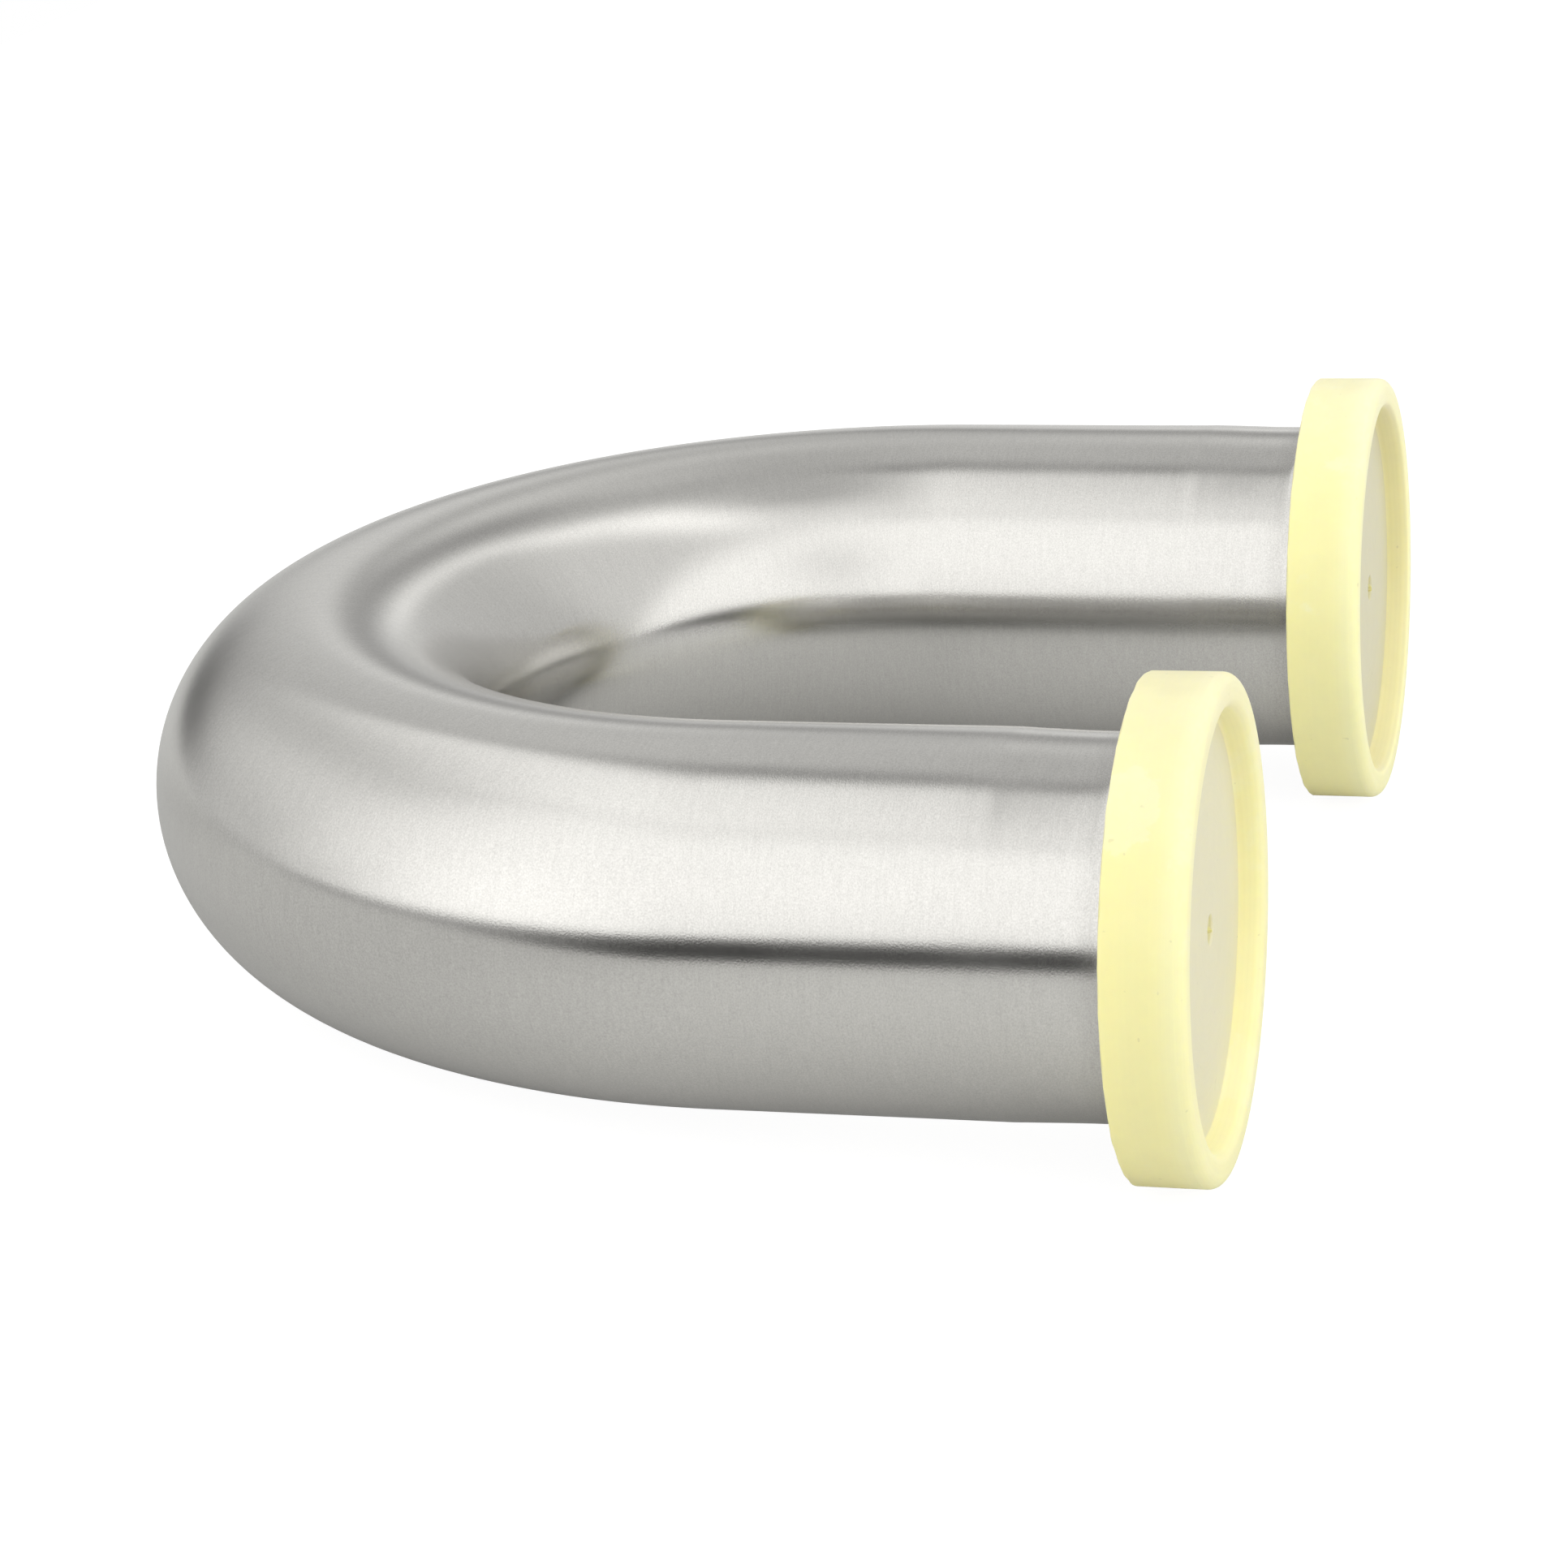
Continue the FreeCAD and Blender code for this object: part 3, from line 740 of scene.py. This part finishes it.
def studio_light(world, studio):
    """A light tent, drawn by direction and not by place.

    swing is the angle round the X axis, from the front horizon over the top to the back, and lean is how
    far a direction leans to +X, both in degrees. One large softbox fills the front and the top and fades
    to the left. Behind it is a duller backdrop, with a dark seam between the two. A bright curved edge
    of the tent runs down on the right, with a dull patch beside it, and a dark gap lies at the horizon.
    A fill light on the right reaches the plastic and the floor and stays out of the steel's reflections.
    """
    world.use_nodes = True
    sockets = Sockets(world.node_tree)
    across, forward, upward = sockets.split(sockets.node("ShaderNodeTexCoord").outputs["Generated"])
    degrees = 180 / math.pi
    swing = sockets.times(sockets.math("ARCTAN2", upward, sockets.times(forward, -1.0)), degrees)
    lean = sockets.times(sockets.math("ARCSINE", across), degrees)
    level = softbox_and_backdrop(sockets, studio, swing, lean)
    level = curved_edge(sockets, level, swing, lean)
    level = dark_gaps(sockets, level, swing, lean, upward)

    ray = sockets.node("ShaderNodeLightPath").outputs
    tent = sockets.node("ShaderNodeBackground")
    fill = sockets.times(ray["Is Diffuse Ray"], sockets.step(lean, -10.0, 50.0, -0.02, 0.42))
    sockets.feed(tent.inputs["Strength"], sockets.times(level, sockets.add(1.0, fill)))
    sockets.feed(tent.inputs["Color"], (1.0, 0.995, 0.98, 1.0))
    white = sockets.node("ShaderNodeBackground")
    sockets.feed(white.inputs["Color"], (1.0, 1.0, 1.0, 1.0))
    mix = sockets.node("ShaderNodeMixShader")
    sockets.feed(mix.inputs[0], ray["Is Camera Ray"])
    sockets.feed(mix.inputs[1], tent.outputs[0])
    sockets.feed(mix.inputs[2], white.outputs[0])
    output = sockets.node("ShaderNodeOutputWorld")
    sockets.feed(output.inputs["Surface"], mix.outputs[0])


class RETURNBEND_OT_tube(bpy.types.Operator):
    """Builds the bent tube with its two straight legs"""

    bl_idname = "return_bend.tube"
    bl_label = "Bent Tube"

    def execute(self, context):
        scene = context.scene
        tube, ferrule = scene.tube_sizes, scene.ferrule_sizes
        rows_by_weld, rows_outside, rows_inside = 20, 250, 130
        _, whole = path_lengths(tube, ferrule)
        start, end = ferrule.length, whole - ferrule.length
        by_weld = np.linspace(0, BY_WELD, rows_by_weld + 1)[:-1]
        outer = np.concatenate([start + by_weld,
                                np.linspace(start + BY_WELD, end - BY_WELD, rows_outside),
                                end - by_weld[::-1]])
        inner = np.linspace(end, start, rows_inside)
        lengths = np.concatenate([outer, inner])
        outside = np.arange(len(lengths)) < len(outer)
        along, turn = grid_round(lengths, STEEL_COLUMNS)
        radius = np.full(along.shape, tube.outside / 2)
        radius[~outside] -= tube.wall
        radius[outside] += steel_offset(tube, ferrule, along[outside], turn[outside])
        points = bent_points(tube, ferrule, along, radius, turn)
        flow = np.stack([along, radius * np.cos(turn), radius * np.sin(turn)], -1)
        piece = shell("bent_tube", points, flow, True, lengths)
        piece.data.materials.append(brushed_steel("tube_steel", scene, (start, end)))
        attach(piece, "bend")
        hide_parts("bend_tube")
        return {"FINISHED"}


def ferrule_profile(tube, ferrule):
    """The ferrule's section, from the sealing face's edge back to the weld, in and forward again."""
    bore_edge = 0.15 * MM
    neck = tube.outside / 2
    bore = neck - tube.wall
    flange = ferrule.flange / 2
    bevel_end = -ferrule.land - (flange - neck) * math.tan(ferrule.bevel)
    outside = rounded([
        (0, flange, ferrule.edge_round),
        (-ferrule.land, flange, ferrule.edge_round),
        (bevel_end, neck, ferrule.neck_fillet),
        (-ferrule.length, neck, 0),
        (-ferrule.length, bore, 0),
        (0, bore, bore_edge),
    ])
    weld = int(np.argmin(outside[:, 0] - outside[:, 1] * 1e-3))
    shares = np.concatenate([np.linspace(0, 0.6, 12)[1:-1], np.linspace(0.6, 1, 24)[:-1]])
    outside = divided(outside, weld - 1, weld, shares)
    middle = (bore + flange) / 2 + ferrule.groove_offset
    swing = np.linspace(0, math.pi, 15)
    groove = np.stack([-np.sin(swing) * ferrule.groove / 2,
                       middle - np.cos(swing) * ferrule.groove / 2], -1)
    return np.concatenate([outside, groove])


class RETURNBEND_OT_ferrules(bpy.types.Operator):
    """Builds the two clamp ferrules that are welded to the legs"""

    bl_idname = "return_bend.ferrules"
    bl_label = "Clamp Ferrules"

    def execute(self, context):
        scene = context.scene
        tube, ferrule = scene.tube_sizes, scene.ferrule_sizes
        _, whole = path_lengths(tube, ferrule)
        material = brushed_steel("ferrule_steel", scene, (ferrule.length, whole - ferrule.length))
        profile = ferrule_profile(tube, ferrule)
        along, turn = grid_round(profile[:, 0], STEEL_COLUMNS)
        radius = np.broadcast_to(profile[:, 1][:, None], along.shape)
        neck = tube.outside / 2
        on_neck = smooth_step(radius, neck + 5 * MM, neck)
        on_neck = on_neck * (radius > neck - tube.wall / 2) * (along < -ferrule.land)
        for side in SIDES:
            offset = mouth_offset(tube, side)
            facing = 1 if side == "left" else -1
            run = -along if side == "left" else whole + along
            around = turn if side == "left" else math.pi - turn
            shaped = radius + on_neck * steel_offset(tube, ferrule, run, around)
            points = turned_points(offset, along, shaped, turn)
            flow = np.stack([run, facing * (offset - points[..., 1]), points[..., 2]], -1)
            piece = shell(f"{side}_ferrule_turned", points, flow, True, profile_lengths(profile))
            piece.data.materials.append(material)
            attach(piece, "bend")
            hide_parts(f"{side}_ferrule")
        return {"FINISHED"}


def cap_profile(ferrule, cap):
    """The cap's section, from the axis at the front round the rim and the skirt to the axis behind."""
    skirt, outside, lip, floor = cap_radii(ferrule, cap)
    front = cap.disc + cap.rim_height
    hollow_end = front - cap.web
    ring, inner_round = 0.45 * MM, 0.3 * MM
    mark_edge = cap.gate / 2 + 0.5 * MM
    body = rounded([
        (cap.disc, ring, 0),
        (cap.disc, mark_edge, 0),
        (cap.disc, floor * 0.4, 0),
        (cap.disc, floor * 0.6, 0),
        (cap.disc, floor * 0.8, 0),
        (cap.disc, floor, cap.floor_fillet),
        (front, lip, cap.lip_round),
        (front, outside, cap.edge_round),
        (-cap.skirt, outside, cap.mouth_round),
        (-cap.skirt, skirt, 0.25 * MM),
        (hollow_end, skirt, inner_round),
        (hollow_end, lip + cap.web, inner_round),
        (0, lip + cap.web, inner_round),
        (0, floor * 0.8, 0),
        (0, floor * 0.6, 0),
        (0, floor * 0.4, 0),
        (0, floor * 0.2, 0),
        (0, ring, 0),
    ])
    dimple = np.linspace(0.05 * MM, mark_edge, 26)[:-1]
    mark = np.stack([np.full(len(dimple), cap.disc), dimple], -1)
    return np.concatenate([mark, body[1:]])


def gate_height(cap, radius, turn):
    """Height of the gate mark over the disc: a shallow dimple with a torn stub in its middle."""
    dimple = -cap.gate_depth * smooth_step(radius, cap.gate / 2 + 0.12 * MM, cap.gate / 2 - 0.25 * MM)
    edge = cap.stub / 2 * (1 + 0.25 * np.sin(2 * turn + 0.6) + 0.15 * np.sin(5 * turn))
    torn = 0.7 + 0.35 * np.sin(turn + 2.0) + 0.15 * np.sin(3 * turn)
    stub = cap.stub_height * torn * smooth_step(radius, edge * 1.25, edge * 0.7)
    return dimple + stub


def torn_flash(turn, phase):
    """Unevenness of a skirt's mouth round the cap: three waves whose sum goes from -2 to 0."""
    waves = np.sin(9 * turn + phase) + np.sin(23 * turn + 1.7 + phase) + np.sin(41 * turn + phase)
    return waves / 3 - 1


class RETURNBEND_OT_caps(bpy.types.Operator):
    """Builds the two push-on caps"""

    bl_idname = "return_bend.caps"
    bl_label = "Push-on Caps"

    def execute(self, context):
        scene = context.scene
        tube, ferrule, cap = scene.tube_sizes, scene.ferrule_sizes, scene.cap_sizes
        skirt, _, _, floor = cap_radii(ferrule, cap)
        material = moulded_plastic("cap_plastic", scene)
        profile = cap_profile(ferrule, cap)
        along, turn = grid_round(profile[:, 0], CAP_COLUMNS)
        radius = np.broadcast_to(profile[:, 1][:, None], along.shape)
        marked = (along > cap.disc - TINY) & (radius < cap.gate / 2 + 0.6 * MM)
        disc_edge = floor - cap.floor_fillet
        on_disc = (radius < disc_edge) & (along > -0.01 * MM)
        mouth = smooth_step(along, -cap.skirt + 1.2 * MM, -cap.skirt)
        mouth = mouth * (radius > skirt + cap.skirt_wall / 2)
        for side in SIDES:
            offset = mouth_offset(tube, side)
            phase = 0.0 if side == "left" else 2.2
            shaped = along + np.where(marked, gate_height(cap, radius, turn + phase), 0)
            shaped = shaped + cap.bulge * on_disc * (1 - (radius / disc_edge) ** 2)
            flash = torn_flash(turn, phase)
            trimmed = radius + cap.flash / 2 * mouth * flash
            shaped = shaped - cap.flash * mouth * flash
            points = turned_points(offset, shaped, trimmed, turn)
            flow = np.stack([along, radius, turn * 0], -1)
            poles = np.array([[shaped[0].mean(), offset, 0], [shaped[-1].mean(), offset, 0]])
            piece = shell(f"{side}_cap_moulded", points, flow, False, profile_lengths(profile), poles)
            piece.data.materials.append(material)
            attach(piece, f"{side}_cap")
            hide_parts(f"{side}_cap")
        return {"FINISHED"}


def floor_plane(tube, ferrule, cap):
    """Tilt and height of the plane that the bend rests on: its two caps and the end of its curve."""
    straight, _ = path_lengths(tube, ferrule)
    _, cap_radius, _, _ = cap_radii(ferrule, cap)
    reach = straight + tube.bend_radius - cap.skirt
    tilt = 0.0
    for _ in range(4):
        tilt = math.asin((cap_radius * math.cos(tilt) - tube.outside / 2) / reach)
    drop = (straight + tube.bend_radius) * math.sin(tilt) + tube.outside / 2
    return tilt, drop


class RETURNBEND_OT_stage(bpy.types.Operator):
    """Builds the floor, the light and the camera"""

    bl_idname = "return_bend.stage"
    bl_label = "Studio"

    def execute(self, context):
        scene = context.scene
        studio = scene.studio
        tilt, drop = floor_plane(scene.tube_sizes, scene.ferrule_sizes, scene.cap_sizes)
        near, left = studio.floor_near, studio.floor_left
        far, right = near + studio.floor_size, left + studio.floor_size
        corners = np.array([[left, near, 0], [right, near, 0], [right, far, 0], [left, far, 0]])
        normal = np.array([math.sin(tilt), 0.0, math.cos(tilt)])
        corners[:, 2] = (-drop - corners[:, 0] * normal[0]) / normal[2]
        mesh = bpy.data.meshes.new("floor")
        mesh.from_pydata(corners.tolist(), [], [[0, 1, 2, 3]])
        floor = bpy.data.objects.new("floor", mesh)
        floor.data.materials.append(pale_floor("pale_floor"))
        scene.collection.objects.link(floor)

        world = bpy.data.worlds.new("light_tent")
        scene.world = world
        studio_light(world, studio)
        scene.view_settings.view_transform = "Standard"

        azimuth, elevation, roll = studio.azimuth, studio.elevation, studio.roll
        back = Vector((math.sin(azimuth) * math.cos(elevation),
                       -math.cos(azimuth) * math.cos(elevation), math.sin(elevation)))
        level = Vector((math.cos(azimuth), math.sin(azimuth), 0))
        upright = back.cross(level)
        rightward = level * math.cos(roll) + upright * math.sin(roll)
        up = upright * math.cos(roll) - level * math.sin(roll)
        lens = bpy.data.cameras.new("camera")
        lens.lens = studio.lens
        lens.sensor_width = 36.0
        lens.clip_start = 0.01
        lens.clip_end = 20.0
        camera = bpy.data.objects.new("camera", lens)
        turned = Matrix((rightward, up, back)).transposed().to_4x4()
        camera.matrix_world = Matrix.Translation(Vector(studio.aim) + back * studio.distance) @ turned
        scene.collection.objects.link(camera)
        scene.camera = camera
        return {"FINISHED"}


class RETURNBEND_PT_sidebar(bpy.types.Panel):
    """Lists the sizes, the finishes and the pieces"""

    bl_idname = "RETURNBEND_PT_sidebar"
    bl_label = "Return Bend"
    bl_space_type = "VIEW_3D"
    bl_region_type = "UI"
    bl_category = "Return Bend"

    def draw(self, context):
        layout = self.layout
        for name in SETTINGS:
            group = getattr(context.scene, name)
            box = layout.box()
            box.label(text=name.replace("_", " ").capitalize())
            for field in group.bl_rna.properties:
                if field.identifier not in ("rna_type", "name"):
                    box.prop(group, field.identifier)
        for operator in OPERATORS:
            layout.operator(operator.bl_idname)


OPERATORS = (
    RETURNBEND_OT_stage,
    RETURNBEND_OT_tube,
    RETURNBEND_OT_ferrules,
    RETURNBEND_OT_caps,
)
CLASSES = (*SETTINGS.values(), *OPERATORS, RETURNBEND_PT_sidebar)


def register():
    for item in CLASSES:
        bpy.utils.register_class(item)
    for name, group in SETTINGS.items():
        setattr(bpy.types.Scene, name, bpy.props.PointerProperty(type=group))


def unregister():
    for name in SETTINGS:
        delattr(bpy.types.Scene, name)
    for item in reversed(CLASSES):
        bpy.utils.unregister_class(item)


def main():
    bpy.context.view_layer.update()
    register()
    bpy.ops.return_bend.stage()
    bpy.ops.return_bend.tube()
    bpy.ops.return_bend.ferrules()
    bpy.ops.return_bend.caps()


if __name__ == "__main__":
    main()
